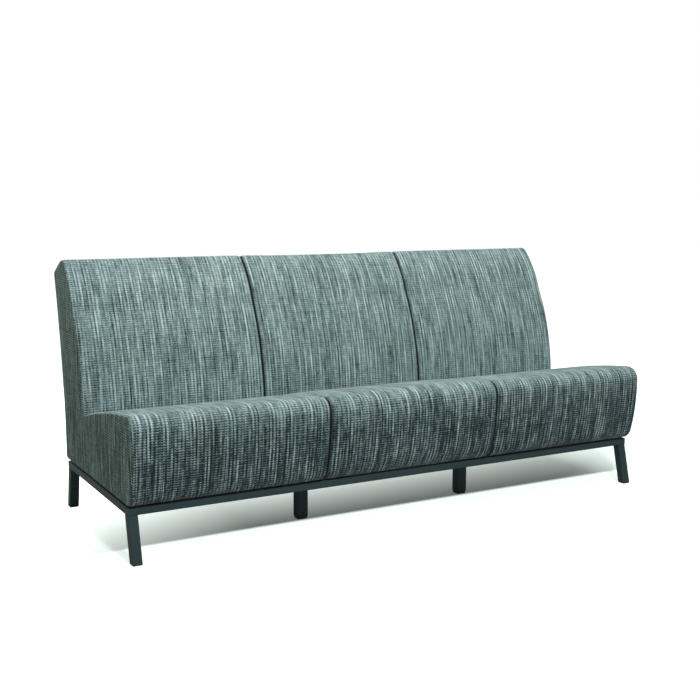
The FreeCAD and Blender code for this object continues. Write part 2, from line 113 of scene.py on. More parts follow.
# Cushions: cloth under pressure
cushion_pressure = 10.0
cushion_mass = 0.05
cushion_cap = 0.004
cloth_frames = 12
held_margin = 0.012

# Upholstered ends: (place along X, inset) of the rings round the edge
end_edge = ((0.9803, 0.0058), (0.9879, 0.0058), (0.98815, 0.0034), (0.9890, 0.0030),
            (0.9897, 0.0036), (0.9901, 0.0050), (0.9903, 0.0070))
# Rings short of groove_x get painted shade in the groove where the end meets the cushions,
# groove_painted_shade of the full amount
groove_x = 0.9886
groove_painted_shade = 0.55
end_spacing = 0.012
end_bend = math.radians(10)
grid_step = 0.016
crown_height = 0.0022
crown_reach = 0.030

# Sheets over boards
sheet_spacing = 0.014
sheet_bend = math.radians(10)
back_thickness = 0.0013
back_wave = 0.0004
lining_thickness = 0.0007
lining_sag = 0.0012

# Weave: widths of a thread along the profile and of one across it
thread = 0.0060
pick = 0.0040

# Stage
floor_reach = 14.0
floor_glow = 0.06
camera_place = (-1.9491, -3.3993, 1.1053)
camera_turn = (0.514, 0.1449, 0.0049)
focal_length = 55.66


# Side profiles

def turned(direction, angle):
    c, s = math.cos(angle), math.sin(angle)
    return (direction[0] * c - direction[1] * s, direction[0] * s + direction[1] * c)


def chord(a, b):
    """Direction of the chord from corner a to corner b, and half the turn of its arc."""
    dy, dz = b[0] - a[0], b[1] - a[1]
    length = math.hypot(dy, dz)
    return (dy / length, dz / length), 2 * math.atan(2 * a[2] / length)


def drawn_in(corners, inset):
    """Corners of a closed outline moved inwards by inset, each with the rise to the next one."""
    moved = []
    for i, here in enumerate(corners):
        before, after = corners[i - 1], corners[(i + 1) % len(corners)]
        way_in, turn_in = chord(before, here)
        way_out, turn_out = chord(here, after)
        n0 = turned(way_in, turn_in + math.pi / 2)
        n1 = turned(way_out, math.pi / 2 - turn_out)
        scale = inset / (1 + n0[0] * n1[0] + n0[1] * n1[1])
        moved.append((here[0] + (n0[0] + n1[0]) * scale, here[1] + (n0[1] + n1[1]) * scale))
    result = []
    for i, here in enumerate(corners):
        after = corners[(i + 1) % len(corners)]
        rise = 0.0
        if here[2]:
            way_out, _ = chord(here, after)
            inward = turned(way_out, math.pi / 2)
            middle = [(here[k] + after[k]) / 2 + inward[k] * (inset - here[2]) for k in (0, 1)]
            a, b = moved[i], moved[(i + 1) % len(corners)]
            rise = sum(((a[k] + b[k]) / 2 - middle[k]) * inward[k] for k in (0, 1))
        result.append((moved[i][0], moved[i][1], rise))
    return result


def along_arc(a, b, count):
    """count points from a towards b, without b, on the arc that rises by a[2]."""
    way, half_turn = chord(a, b)
    length = math.hypot(b[0] - a[0], b[1] - a[1])
    outward = turned(way, -math.pi / 2)
    points = []
    for i in range(count):
        t = i / count
        if abs(half_turn) < 1e-6:
            forward, rise = length * t, 0.0
        else:
            radius = length / 2 / math.sin(half_turn)
            angle = half_turn * (2 * t - 1)
            forward = length / 2 + radius * math.sin(angle)
            rise = radius * (math.cos(angle) - math.cos(half_turn))
        points.append((a[0] + way[0] * forward + outward[0] * rise,
                       a[1] + way[1] * forward + outward[1] * rise))
    return points


def sample_counts(corners):
    counts = []
    for i, a in enumerate(corners):
        b = corners[(i + 1) % len(corners)]
        counts.append(max(3, round(math.hypot(b[0] - a[0], b[1] - a[1]) / profile_step)))
    return counts


def sampled(corners, counts, inset):
    moved = drawn_in(corners, inset)
    points = []
    for i, a in enumerate(moved):
        points += along_arc(a, moved[(i + 1) % len(moved)], counts[i])
    return np.array(points)


def rounded(points, steps):
    """Running mean over a closed run of points, which rounds its corners."""
    total = np.zeros_like(points)
    for k in range(-steps, steps + 1):
        total += np.roll(points, k, axis=0)
    return total / (2 * steps + 1)


def picked(points, spacing, turn):
    """Indices along an open run: closer together where it bends."""
    steps = np.diff(points, axis=0)
    lengths = np.linalg.norm(steps, axis=1)
    headings = np.unwrap(np.arctan2(steps[:, 1], steps[:, 0]))
    bends = np.abs(np.diff(headings, prepend=headings[0]))
    effort = np.concatenate([[0], np.cumsum(lengths / spacing + bends / turn)])
    wanted = np.linspace(0, effort[-1], int(effort[-1]) + 2)
    return np.unique(np.searchsorted(effort, wanted).clip(0, len(points) - 1))


def arc_lengths(points):
    return np.concatenate([[0], np.cumsum(np.linalg.norm(np.diff(points, axis=0), axis=1))])


def spread(corners, count):
    """count points evenly along an open polyline, its ends included."""
    corners = np.array(corners)
    along = arc_lengths(corners)
    wanted = np.linspace(0, along[-1], count)
    return np.column_stack([np.interp(wanted, along, corners[:, k]) for k in (0, 1)])


# Meshes

def mesh_object(name, vertices, faces, cloth=None, sunk=None):
    """A smooth mesh. cloth holds each point's place in the cloth, and sunk how deep in a seam it lies,
    which sets the painted shade there.
    """
    mesh = bpy.data.meshes.new(name)
    mesh.from_pydata([tuple(v) for v in vertices], [], [tuple(int(i) for i in f) for f in faces])
    mesh.validate()
    mesh.update()
    if cloth is not None:
        attribute = mesh.attributes.new("cloth", "FLOAT_VECTOR", "POINT")
        attribute.data.foreach_set("vector", np.asarray(cloth, dtype=np.float32).ravel())
    if sunk is not None:
        attribute = mesh.attributes.new("sunk", "FLOAT", "POINT")
        attribute.data.foreach_set("value", np.asarray(sunk, dtype=np.float32))
    for polygon in mesh.polygons:
        polygon.use_smooth = True
    piece = bpy.data.objects.new(name, mesh)
    bpy.context.scene.collection.objects.link(piece)
    return piece


def facing_out(piece):
    """Turns the faces outwards if the closed mesh is inside out."""
    mesh = piece.data
    volume = 0.0
    mesh.calc_loop_triangles()
    for t in mesh.loop_triangles:
        a, b, c = (mesh.vertices[i].co for i in t.vertices)
        volume += a.dot(b.cross(c))
    if volume < 0:
        mesh.flip_normals()
    return piece


def tube_faces(rings, ring):
    """Quads between neighbouring rings of ring points each."""
    faces = []
    for j in range(rings - 1):
        for i in range(ring):
            k = (i + 1) % ring
            faces.append((j * ring + i, j * ring + k, (j + 1) * ring + k, (j + 1) * ring + i))
    return faces


def end_faces(rings, ring):
    """Quads that close the first and the last ring, whose second half runs back under the first."""
    faces = []
    for j in (0, rings - 1):
        for i in range(ring // 2 - 1):
            low, high = j * ring + i, j * ring + ring - 1 - i
            faces.append((low, low + 1, high - 1, high))
    return faces


# Cushions

def seam_draw(away):
    """How far a cushion's skin lies below its profile at this distance from a seam."""
    round_part = 0.0
    if away < seam_reach:
        round_part = seam_round * (1 - math.sqrt(1 - (1 - away / seam_reach) ** 2))
    return round_part + pillow_depth * math.exp(-away / pillow_reach)


def end_draw(away):
    """The same at this distance from an end of the sofa."""
    if away >= end_reach:
        return 0.0
    return end_round * (1 - math.sqrt(1 - (1 - away / end_reach) ** 2))


def end_rings():
    """Rings of an outer cushion near its end: place along X, and depth of the lip there."""
    rings = [(x, lip_over_padding) for x in padding_rings]
    rings += [(x, lip_over_panel) for x in panel_rings]
    rings += [(x, 0.0) for x in solid_rings]
    return rings


def stations(index):
    """Rings of one module: (x, draw, lip), lip being 0 where the piece is solid."""
    left = seat_width * index - half_length
    right = left + seat_width
    middle = (left + right) / 2
    sides = ((-1, left, index == 0), (1, right, index == 2))
    rows = []
    for side, edge, at_end in sides:
        if at_end:
            rows += [(side * x, end_draw(end_face_x - x), lip) for x, lip in end_rings()]
        else:
            rows += [(edge - side * (seam_half_gap + away), seam_draw(away), 0.0) for away in seam_rings]
    low = max(x for x, _, _ in rows if x < middle)
    high = min(x for x, _, _ in rows if x > middle)
    for k in range(1, inner_steps):
        x = low + (high - low) * k / inner_steps
        draw = 0.0
        for side, edge, at_end in sides:
            if not at_end:
                draw += seam_draw(side * (edge - x))
        rows.append((x, draw, 0.0))
    return sorted(rows)


def held_points(rows, along, wall_first):
    """Numbers of the points that the cloth leaves in place: hidden ones, lips, seams and edges."""
    left, right = rows[0][0], rows[-1][0]
    before, after = (wall_height, 0.0) if wall_first else (0.0, wall_height)
    free_run = np.minimum(along - before, along[-1] - after - along)
    count = len(along)
    held = []
    for j, (x, _, lip) in enumerate(rows):
        edge = min(x - left, right - x)
        for i in range(2 * count):
            if i >= count or lip or edge < held_margin or free_run[i] < held_margin:
                held.append(j * 2 * count + i)
    return held


def cushion(name, index, corners, first, used, wall_first, inner, seed):
    """A closed cushion swept along X.

    corners is the closed outline; the skin starts at corner number first and takes used stretches.
    wall_first says whether the hidden wall at the crease is the skin's first stretch or its last.
    inner is the polyline of the hidden side, from the start of the skin to its end.
    """
    counts = sample_counts(corners)
    start = sum(counts[:first])
    length = sum((counts + counts)[first:first + used])

    def skin(inset, steps=rounding_steps):
        points = rounded(sampled(corners, counts, inset + clearance), steps)
        return np.roll(points, -start, axis=0)[:length + 1]

    base = skin(0.0)
    corner_at = counts[first] if wall_first else sum((counts + counts)[first:first + used - 1])
    chosen = picked(base, cushion_spacing, cushion_bend)
    along = arc_lengths(base)[chosen]
    count = len(chosen)
    hidden = spread(inner, count)
    to_edge = along[-1] - along if wall_first else along
    fixed = np.clip(1 - to_edge / crease_reach, 0, 1)[:, None]
    on_wall = chosen <= corner_at if wall_first else chosen >= corner_at
    to_corner = np.abs(chosen - corner_at)
    run = to_corner / max(1, to_corner[on_wall].max())

    def section(x, draw, lip):
        """Closed section at x: the skin, then the hidden side or the lip's inside, run back."""
        crisp = min(1.0, max(0.0, (abs(x) - crisp_x) / (panel_inner_x - crisp_x)))
        outer = skin(draw)[chosen] * (1 - crisp) + skin(draw, 1)[chosen] * crisp
        if not lip:
            outer = outer * (1 - fixed) + skin(0.0, 1)[chosen] * fixed
            return np.vstack([outer, hidden[::-1]])
        under = skin(lip, 1)[chosen]
        for points, inset, fall in ((outer, draw, lip_drop * (lip - draw)), (under, lip, 0.0)):
            corner = skin(inset, 0)[corner_at]
            points[on_wall, 0] = corner[0]
            points[on_wall, 1] = corner[1] - run[on_wall] * fall
        return np.vstack([outer, under[::-1]])

    rows = stations(index)
    around = np.concatenate([along, along[::-1]])
    vertices, cloth, sunk = [], [], []
    for x, draw, lip in rows:
        vertices += [(x, front_y + depth, height) for depth, height in section(x, draw, lip)]
        cloth += [(x, v, seed) for v in around]
        # sunk sets the painted seam shade: by the skin's draw, and full on the hidden side.
        deepest = deepest_end if abs(x) > panel_inner_x else deepest_seam
        sunk += [min(1.0, draw / deepest)] * count + [1.0] * count
    faces = tube_faces(len(rows), 2 * count) + end_faces(len(rows), 2 * count)
    piece = facing_out(mesh_object(name, vertices, faces, cloth, sunk))
    plump(piece, held_points(rows, along, wall_first))
    smooth = piece.modifiers.new("smooth", "SUBSURF")
    smooth.levels = 1
    smooth.render_levels = 1
    return piece


def plump(piece, held):
    """Swells the free part of a closed cushion with cloth under pressure, then applies it."""
    group = piece.vertex_groups.new(name="held")
    group.add(held, 1.0, "REPLACE")
    start = np.array([v.co for v in piece.data.vertices])
    modifier = piece.modifiers.new("cloth", "CLOTH")
    settings = modifier.settings
    settings.quality = 4
    settings.mass = cushion_mass
    settings.tension_stiffness = 20
    settings.compression_stiffness = 20
    settings.shear_stiffness = 10
    settings.bending_stiffness = 2
    settings.use_pressure = True
    settings.uniform_pressure_force = cushion_pressure
    settings.vertex_group_mass = "held"
    settings.effector_weights.gravity = 0
    modifier.collision_settings.use_collision = False
    modifier.collision_settings.use_self_collision = False
    scene = bpy.context.scene
    for number in range(1, cloth_frames + 1):
        scene.frame_set(number)
    graph = bpy.context.evaluated_depsgraph_get()
    moved = piece.evaluated_get(graph).data
    swollen = np.array([v.co for v in moved.vertices])
    piece.modifiers.remove(modifier)
    piece.vertex_groups.remove(group)
    scene.frame_set(1)
    shift = swollen - start
    size = np.linalg.norm(shift, axis=1, keepdims=True)
    limited = cushion_cap * np.tanh(size / cushion_cap)
    shift *= limited / np.maximum(size, 1e-9)
    print(piece.name, "swell: most", round(float(size.max()), 4), "mean", round(float(size.mean()), 4))
    piece.data.vertices.foreach_set("co", (start + shift).ravel())
    piece.data.update()


def seat_cushion(index, side):
    corners = seat_top + [(crease[0], base_z, 0.0), (crease[0], deck_height, 0.0)]
    inner = [(0.4455, deck_height), (0.0045, 0.3347), (0.0045, 0.1745)]
    return cushion(side + "_seat_cushion", index, corners, first=6, used=5, wall_first=True,
                   inner=inner, seed=index + 1.0)


def back_cushion(index, side):
    corners = back_front + [(*crease, 0.0), (crease[0], deck_height, 0.0), (0.687, deck_height, 0.0)]
    inner = [(0.7640, 0.8120), (0.7026, 0.8467), (0.6553, 0.8467), (0.6553, 0.7880),
             (0.5135, 0.2970), (0.4465, 0.2970)]
    return cushion(side + "_back_cushion", index, corners, first=0, used=6, wall_first=False,
                   inner=inner, seed=index + 5.0)


# Upholstered ends

def end_corners():
    return back_front + seat_top + rear


def distance_to(points, outline):
    """Distance of each point from a closed outline."""
    best = np.full(len(points), 1e9)
    for a, b in zip(outline, np.roll(outline, -1, axis=0)):
        ab = b - a
        t = np.clip(((points - a) @ ab) / (ab @ ab), 0, 1)
        best = np.minimum(best, np.linalg.norm(points - a - t[:, None] * ab, axis=1))
    return best


def points_inside(points, outline):
    inside = np.zeros(len(points), dtype=bool)
    for a, b in zip(outline, np.roll(outline, -1, axis=0)):
        crosses = (a[1] > points[:, 1]) != (b[1] > points[:, 1])
        if a[1] == b[1]:
            continue
        at = a[0] + (points[:, 1] - a[1]) / (b[1] - a[1]) * (b[0] - a[0])
        inside ^= crosses & (points[:, 0] < at)
    return inside


def filled(ring):
    """Triangles over a closed ring: the points, each one's number in the ring or None, the faces."""
    depths = np.arange(-0.06, 0.78, grid_step)
    heights = np.arange(0.17, 0.88, grid_step)
    grid = np.array([(depth, height) for depth in depths for height in heights])
    inside = points_inside(grid, ring) & (distance_to(grid, ring) > grid_step * 0.6)
    flat = [Vector(p) for p in np.vstack([ring, grid[inside]])]
    count = len(ring)
    made, _, triangles, originals, _, _ = delaunay_2d_cdt(flat, [], [list(range(count))], 1, 1e-6)
    sources = [next((o for o in found if o < count), None) for found in originals]
    return made, sources, triangles


def end_upholstery(name, x_side, seed):
    """Padded panel over an end: a thin skin with a rounded edge and a slight crown."""
    corners = end_corners()
    counts = sample_counts(corners)
    fine = rounded(sampled(corners, counts, 0.0), 1)
    closed = np.vstack([fine, fine[:1]])
    chosen = picked(closed, end_spacing, end_bend)[:-1]
    count = len(chosen)
    rings = [(x, rounded(sampled(corners, counts, inset), 1)[chosen]) for x, inset in end_edge]
    vertices = [(x_side * x, front_y + p[0], p[1]) for x, ring in rings for p in ring]
    cloth = [(p[0], p[1], seed) for _, ring in rings for p in ring]
    # Painted shade in the groove on the rings short of groove_x.
    sunk = [groove_painted_shade if x < groove_x else 0.0 for x, _ in end_edge for _ in range(count)]
    faces = tube_faces(len(rings), count)
    for rim, crown in ((0, 0.0), (len(rings) - 1, crown_height)):
        x, ring = rings[rim]
        made, sources, triangles = filled(ring)
        to_edge = distance_to(np.array([tuple(p) for p in made]), ring)
        numbers = []
        for p, source, away in zip(made, sources, to_edge):
            if source is not None:
                numbers.append(rim * count + source)
                continue
            numbers.append(len(vertices))
            lift = crown * (1 - math.exp(-away / crown_reach))
            vertices.append((x_side * (x + lift), front_y + p[0], p[1]))
            cloth.append((p[0], p[1], seed))
            sunk.append(0.0)
        for triangle in triangles:
            order = triangle if rim else reversed(triangle)
            faces.append([numbers[i] for i in order])
    return facing_out(mesh_object(name, vertices, faces, cloth, sunk))


# Cloth stretched over boards

def swept_sheet(name, path, thickness, xs, wave, seed):
    """A thin closed sheet, swept along X from its path in profile, and the length of that path."""
    path = np.array(path)
    tangents = np.gradient(path, axis=0)
    tangents /= np.linalg.norm(tangents, axis=1, keepdims=True)
    inward = np.column_stack([-tangents[:, 1], tangents[:, 0]])
    along = arc_lengths(path)
    vertices, cloth = [], []
    for x in xs:
        for layer in (0.0, thickness):
            order = range(len(path)) if layer == 0 else reversed(range(len(path)))
            for i in order:
                p = path[i] + inward[i] * (layer + wave(x, along[i] / along[-1]))
                vertices.append((x, front_y + p[0], p[1]))
                cloth.append((x, along[i], seed))
    ring = 2 * len(path)
    faces = tube_faces(len(xs), ring) + end_faces(len(xs), ring)
    return facing_out(mesh_object(name, vertices, faces, cloth)), along[-1]


def outside_back():
    corners = end_corners()
    counts = sample_counts(corners)
    start = len(back_front) + len(seat_top)
    first = sum(counts[:start])
    length = sum(counts[start:start + 4])
    points = rounded(sampled(corners, counts, 0.0), 2)
    path = np.roll(points, -first, axis=0)[1:length - 1]
    chosen = picked(path, sheet_spacing, sheet_bend)

    def wave(x, t):
        pull = math.sin(math.pi * min(1, max(0, t)))
        return back_wave * pull * (1 - math.cos(2 * math.pi * (x + half_length) / seat_width))

    xs = np.linspace(-end_face_x + 0.0005, end_face_x - 0.0005, 100)
    return swept_sheet("outside_back", path[chosen], back_thickness, xs, wave, 9.0)


def under_cloth():
    low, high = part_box("dust_cover")
    ys = np.linspace(low[1], high[1], 40) - front_y
    path = [(y, low[2]) for y in ys]

    def wave(x, t):
        edge = min(1.0, (half_length - 0.028 - abs(x)) / 0.05) * min(1.0, t / 0.08, (1 - t) / 0.08)
        return -lining_sag * max(0.0, edge)

    xs = np.linspace(low[0], high[0], 120)
    return swept_sheet("under_cloth", path, lining_thickness, xs, wave, 11.0)


# Materials

class Shader:
    """A node tree built with short calls; sockets are passed from one call to the next."""

    def __init__(self, name):
        self.material = bpy.data.materials.new(name)
        self.material.use_nodes = True
        self.tree = self.material.node_tree
        self.tree.nodes.clear()
        self.output = self.tree.nodes.new("ShaderNodeOutputMaterial")

    def put(self, socket, value):
        if isinstance(value, bpy.types.NodeSocket):
            self.tree.links.new(value, socket)
        else:
            socket.default_value = value

    def node(self, kind, **inputs):
        made = self.tree.nodes.new(kind)
        for name, value in inputs.items():
            self.put(made.inputs[name], value)
        return made

    def math(self, operation, a, b=0.0, c=0.0, clamp=False):
        made = self.tree.nodes.new("ShaderNodeMath")
        made.operation = operation
        made.use_clamp = clamp
        for socket, value in zip(made.inputs, (a, b, c)):
            self.put(socket, value)
        return made.outputs[0]

    def times(self, value, factor, clamp=False):
        return self.math("MULTIPLY", value, factor, clamp=clamp)

    def attribute(self, name):
        made = self.tree.nodes.new("ShaderNodeAttribute")
        made.attribute_name = name
        return made.outputs

    def scaled(self, vector, factors):
        made = self.tree.nodes.new("ShaderNodeVectorMath")
        made.operation = "MULTIPLY"
        self.put(made.inputs[0], vector)
        made.inputs[1].default_value = factors
        return made.outputs[0]

    def noise(self, vector, scale=1.0, detail=2.0, roughness=0.5, distortion=0.0):
        made = self.node("ShaderNodeTexNoise", Vector=vector, Scale=scale, Detail=detail,
                         Roughness=roughness, Distortion=distortion)
        return made.outputs[0]

    def ramp(self, value, stops, smooth=False):
        made = self.tree.nodes.new("ShaderNodeValToRGB")
        made.color_ramp.interpolation = "EASE" if smooth else "LINEAR"
        elements = made.color_ramp.elements
        while len(elements) < len(stops):
            elements.new(0.5)
        for element, (place, colour) in zip(elements, stops):
            element.position = place
            element.color = colour
        self.put(made.inputs[0], value)
        return made.outputs[0]

    def mix(self, factor, a, b, blend="MIX"):
        made = self.tree.nodes.new("ShaderNodeMix")
        made.data_type = "RGBA"
        made.blend_type = blend
        self.put(made.inputs[0], factor)
        self.put(made.inputs[6], a)
        self.put(made.inputs[7], b)
        return made.outputs[2]

    def parts(self, vector):
        made = self.tree.nodes.new("ShaderNodeSeparateXYZ")
        self.put(made.inputs[0], vector)
        return made.outputs

    def vector(self, x, y, z):
        made = self.tree.nodes.new("ShaderNodeCombineXYZ")
        for socket, value in zip(made.inputs, (x, y, z)):
            self.put(socket, value)
        return made.outputs[0]

    def bump(self, height, distance, strength, under=None):
        made = self.node("ShaderNodeBump", Height=height, Distance=distance, Strength=strength)
        if under is not None:
            self.put(made.inputs["Normal"], under)
        return made.outputs[0]

    def surface(self, colour, roughness, normal=None, **constants):
        made = self.tree.nodes.new("ShaderNodeBsdfPrincipled")
        self.put(made.inputs["Base Color"], colour)
        self.put(made.inputs["Roughness"], roughness)
        if normal is not None:
            self.put(made.inputs["Normal"], normal)
        for name, value in constants.items():
            made.inputs[name.replace("_", " ")].default_value = value
        self.tree.links.new(made.outputs[0], self.output.inputs[0])
        return self.material


def tone(r, g, b):
    """Colour written as it looks on a screen, 0 to 255, turned into the linear one."""
    linear = [c / 255 / 12.92 if c <= 10 else ((c / 255 + 0.055) / 1.055) ** 2.4 for c in (r, g, b)]
    return (*linear, 1.0)


def object_place(shader):
    return shader.tree.nodes.new("ShaderNodeTexCoord").outputs["Object"]


def brightened(colour, factor):
    return [min(1.0, c * factor) for c in colour[:3]] + [1.0]


def threads(s, seed, across, along, detail=1.0, roughness=0.5, offset=0.0):
    """Noise drawn out into threads by the scales of across and along."""
    return s.noise(s.vector(across, along, s.math("ADD", seed, offset)), 1.0, detail, roughness)


def crossing(s, drift, v, column, row):
    """Height of a plain weave, in which ridges along the profile and across it take turns."""
    ridge_u = s.math("ABSOLUTE", s.math("SINE", s.times(drift, math.pi / thread)))
    ridge_v = s.math("ABSOLUTE", s.math("SINE", s.times(v, math.pi / pick)))
    turn = s.math("MODULO", s.math("ABSOLUTE", s.math("ADD", column, row)), 2.0)
    over = s.math("GREATER_THAN", turn, 0.5)
    under = s.times(ridge_v, s.math("SUBTRACT", 1.0, over))
    return s.math("ADD", s.times(ridge_u, over), under)


def slub_weave(s, place):
    """Uneven thick and thin threads along the profile, crossed by finer ones: tone and height."""
    u, v, seed = s.parts(place)
    wander = s.noise(s.scaled(place, (4.0, 5.0, 7.0)), 1.0, 1.0)
    drift = s.math("MULTIPLY_ADD", wander, 0.0030, u)
    column = s.math("FLOOR", s.math("DIVIDE", drift, thread))
    row = s.math("FLOOR", s.math("DIVIDE", v, pick))
    strand = s.math("FLOOR", s.times(drift, 340.0))
    slub = threads(s, seed, s.times(column, 7.31), s.times(v, 6.0), 2.0, 0.6)
    knot = threads(s, seed, s.times(column, 5.13), s.times(v, 30.0), 1.0, 0.5, 3.1)
    band = threads(s, seed, s.times(drift, 330.0), s.times(v, 7.0), 2.0, 0.6, 5.7)
    wide = threads(s, seed, s.times(u, 14.0), s.times(v, 3.0), 2.0, 0.5, 8.3)
    fine = threads(s, seed, s.times(strand, 3.9), s.times(v, 7.0), 1.0, 0.5, 6.9)
    weft = threads(s, seed, s.times(u, 16.0), s.times(row, 5.17), 2.0, 0.6, 11.9)
    long_weft = threads(s, seed, s.times(u, 3.2), s.times(v, 105.0), 1.0, 0.5, 14.3)
    dot = threads(s, seed, s.times(column, 3.77), s.times(row, 2.91), 1.0, 0.5, 17.1)
    odd = s.math("MODULO", s.math("ABSOLUTE", column), 2.0)
    beat = s.math("SINE", s.math("MULTIPLY_ADD", v, math.pi / pick, s.times(odd, 1.3)))
    stitch = s.times(beat, s.math("ADD", knot, 0.1))
    stripe = s.times(s.math("SUBTRACT", odd, 0.5), s.math("MULTIPLY_ADD", slub, 1.2, -0.2))
    uneven = s.math("SUBTRACT", slub, 0.5)
    total = s.math("MULTIPLY_ADD", stitch, 0.26, uneven)
    total = s.math("MULTIPLY_ADD", stripe, 0.44, total)
    weights = ((knot, 0.30), (fine, 0.75), (band, 0.25), (wide, 0.10), (weft, 0.28), (dot, 0.50))
    for value, weight in weights:
        total = s.math("MULTIPLY_ADD", s.math("SUBTRACT", value, 0.5), weight, total)
    line = s.times(s.math("SUBTRACT", 0.35, long_weft, clamp=True), 0.8)
    total = s.math("SUBTRACT", total, line)
    height = s.math("MULTIPLY_ADD", uneven, 1.6, crossing(s, drift, v, column, row))
    return total, height


def painted_shade_along_profile(s, level, v, stretch, painted_shade_drop):
    """Painted shade: lowers the level by the given amount, and raises its contrast, over a stretch of the
    profile.
    """
    fade = s.tree.nodes.new("ShaderNodeMapRange")
    fade.interpolation_type = "SMOOTHSTEP"
    s.put(fade.inputs["Value"], v)
    fade.inputs["From Min"].default_value = stretch[0]
    fade.inputs["From Max"].default_value = stretch[1]
    gain = s.math("MULTIPLY_ADD", fade.outputs[0], 0.35, 1.0)
    swing = s.times(s.math("SUBTRACT", level, 0.5), gain)
    return s.math("SUBTRACT", s.math("ADD", swing, 0.5), s.times(fade.outputs[0], painted_shade_drop))


def fabric(name, contrast, tones, painted_shade_stretch=None, painted_shade_drop=0.0):
    """Woven cloth, with painted shade over a stretch of the profile if one is given, and painted shade deep
    in a seam.
    """
    s = Shader(name)
    place = s.attribute("cloth")["Vector"]
    u, v, seed = s.parts(place)
    total, height = slub_weave(s, place)
    level = s.math("MULTIPLY_ADD", total, contrast, 0.5)
    if painted_shade_stretch:
        level = painted_shade_along_profile(s, level, v, painted_shade_stretch, painted_shade_drop)
    tint = threads(s, seed, s.times(u, 16.0), s.times(v, 5.0), 2.0, 0.5, 21.7)
    cast = s.ramp(tint, [(0.40, (0.93, 0.97, 1.08, 1)), (0.60, (1.04, 1.01, 0.96, 1))])
    colour = s.mix(0.30, s.ramp(level, tones), cast, "MULTIPLY")
    # Painted shade in seams and on hidden sides, towards a near-black colour, by how far the skin is sunk.
    painted_seam_shade = s.math("MULTIPLY_ADD", s.attribute("sunk")["Fac"], 2.6, -0.65, clamp=True)
    colour = s.mix(s.times(painted_seam_shade, 0.95), colour, tone(8, 14, 15))
    return s.surface(colour, 0.88, s.bump(height, 0.0009, 0.55), Sheen_Weight=0.15,
                     Sheen_Roughness=0.45, Specular_IOR_Level=0.22)


def powder_coat(name, colour):
    s = Shader(name)
    place = object_place(s)
    cloud = s.noise(place, 9.0, 3.0, 0.5)
    grain = s.noise(place, 900.0, 2.0, 0.6)
    base = s.ramp(cloud, [(0.35, brightened(colour, 0.90)), (0.65, brightened(colour, 1.12))])
    wear = s.node("ShaderNodeNewGeometry").outputs["Pointiness"]
    edge = s.times(s.math("SUBTRACT", wear, 0.53, clamp=True), 3.0, clamp=True)
    base = s.mix(edge, base, brightened(colour, 1.9))
    rough = s.math("MULTIPLY_ADD", grain, 0.16, 0.44)
    return s.surface(base, rough, s.bump(grain, 0.0002, 0.35), Specular_IOR_Level=0.28)


def moulded_plastic(name, colour):
    s = Shader(name)
    place = object_place(s)
    grain = s.noise(place, 1400.0, 2.0, 0.5)
    scuff = s.noise(place, 60.0, 4.0, 0.6)
    base = s.ramp(scuff, [(0.3, brightened(colour, 0.85)), (0.7, brightened(colour, 1.2))])
    rough = s.math("MULTIPLY_ADD", scuff, 0.25, 0.38)
    return s.surface(base, rough, s.bump(grain, 0.00015, 0.4))


def plywood(name):
    s = Shader(name)
    place = object_place(s)
    grain = s.noise(s.scaled(place, (6.0, 30.0, 260.0)), 1.0, 4.0, 0.6, 0.6)
    ply = s.math("ABSOLUTE", s.math("SINE", s.times(s.parts(place)[0], math.pi / 0.0028)))
    tones = [(0.25, tone(196, 158, 112)), (0.55, tone(222, 190, 146)), (0.8, tone(235, 208, 168))]
    base = s.ramp(grain, tones)
    base = s.mix(s.times(ply, 0.18), base, tone(150, 112, 74))
    return s.surface(base, s.math("MULTIPLY_ADD", grain, 0.2, 0.5), s.bump(grain, 0.0003, 0.3))


def webbing(name):
    s = Shader(name)
    place = object_place(s)
    x = s.parts(place)[0]
    rib = s.math("ABSOLUTE", s.math("SINE", s.times(x, math.pi / 0.0022)))
    wave = s.math("ABSOLUTE", s.math("SINE", s.times(x, math.pi / 0.011)))
    stripe = s.math("GREATER_THAN", wave, 0.96)
    base = s.mix(rib, tone(58, 56, 52), tone(92, 88, 80))
    base = s.mix(s.times(stripe, 0.7), base, tone(168, 60, 44))
    fuzz = s.noise(place, 700.0, 2.0, 0.6)
    height = s.math("ADD", rib, fuzz)
    return s.surface(base, s.math("MULTIPLY_ADD", fuzz, 0.15, 0.75), s.bump(height, 0.0006, 0.5))


def zinc(name):
    s = Shader(name)
    place = object_place(s)
    crystal = s.noise(place, 240.0, 3.0, 0.6)
    base = s.ramp(crystal, [(0.3, tone(150, 154, 158)), (0.7, tone(196, 200, 203))])
    rough = s.math("MULTIPLY_ADD", crystal, 0.2, 0.25)
    return s.surface(base, rough, s.bump(crystal, 0.0001, 0.2), Metallic=0.95)


def rubber(name):
    s = Shader(name)
    place = object_place(s)
    grain = s.noise(place, 500.0, 3.0, 0.6)
    base = s.ramp(grain, [(0.3, tone(22, 23, 24)), (0.7, tone(40, 41, 42))])
    return s.surface(base, s.math("MULTIPLY_ADD", grain, 0.2, 0.7), s.bump(grain, 0.0002, 0.4))


def lining(name):
    """Spun-bonded cloth: matted fibres with a fine pressed grid of dots."""
    s = Shader(name)
    place = object_place(s)
    x, y, z = s.parts(place)
    fibre = s.noise(s.scaled(place, (400.0, 900.0, 400.0)), 1.0, 4.0, 0.7, 1.5)
    dot_turn = 2 * math.pi / 0.004
    dots = s.times(s.math("SINE", s.times(x, dot_turn)), s.math("SINE", s.times(y, dot_turn)))
    press = s.math("GREATER_THAN", dots, 0.55)
    base = s.ramp(fibre, [(0.3, tone(24, 25, 26)), (0.7, tone(52, 53, 55))])
    base = s.mix(s.times(press, 0.5), base, tone(16, 17, 18))
    height = s.math("SUBTRACT", fibre, press)
    return s.surface(base, 0.9, s.bump(height, 0.0004, 0.5))


